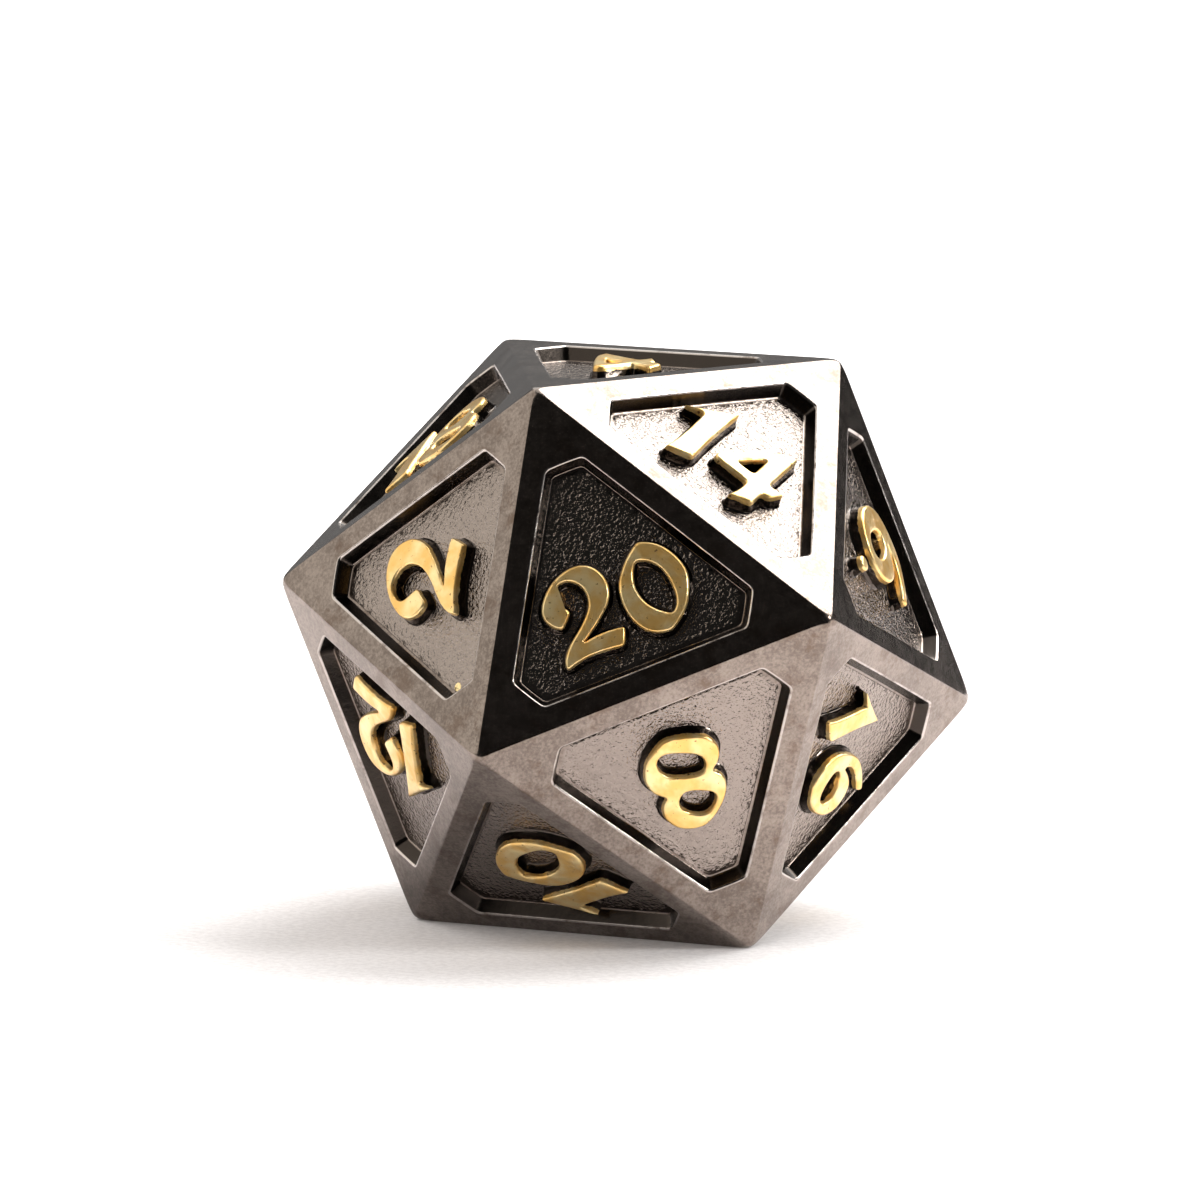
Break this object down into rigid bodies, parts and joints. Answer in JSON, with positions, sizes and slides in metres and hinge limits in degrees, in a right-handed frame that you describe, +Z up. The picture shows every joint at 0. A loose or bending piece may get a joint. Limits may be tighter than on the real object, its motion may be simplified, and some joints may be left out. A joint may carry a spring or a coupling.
{
  "type": "twenty-sided die",
  "caption": "Metal twenty-sided die with a dark raised frame, sunk grainy fields and raised gold numerals.",
  "frame": {"origin": "middle of the face that the die rests on (the 17), on the table", "axes": "+Z up through the face that shows 4; +X along the front lower edge, between the 17 and the 10, from the 12 side towards the 16 side; -Y is the front, towards the 10, 20 and 2"},
  "size_m": [0.0234, 0.027, 0.022],
  "materials": {
    "black_nickel": "polished black nickel plate over cast zinc alloy, grainy in the sunk fields",
    "gold": "bright gold plate on the raised numerals"
  },
  "bodies": {
    "root": {"die_body": "black_nickel", "numeral_01_units": "gold", "numeral_02_units": "gold", "numeral_03_units": "gold", "numeral_04_units": "gold", "numeral_05_units": "gold", "numeral_06_units": "gold", "numeral_06_dot": "gold", "numeral_07_units": "gold", "numeral_08_units": "gold", "numeral_09_units": "gold", "numeral_09_dot": "gold", "numeral_10_tens": "gold", "numeral_10_units": "gold", "numeral_11_tens": "gold", "numeral_11_units": "gold", "numeral_12_tens": "gold", "numeral_12_units": "gold", "numeral_13_tens": "gold", "numeral_13_units": "gold", "numeral_14_tens": "gold", "numeral_14_units": "gold", "numeral_15_tens": "gold", "numeral_15_units": "gold", "numeral_16_tens": "gold", "numeral_16_units": "gold", "numeral_17_tens": "gold", "numeral_17_units": "gold", "numeral_18_tens": "gold", "numeral_18_units": "gold", "numeral_19_tens": "gold", "numeral_19_units": "gold", "numeral_20_tens": "gold", "numeral_20_units": "gold"}
  },
  "joints": []
}
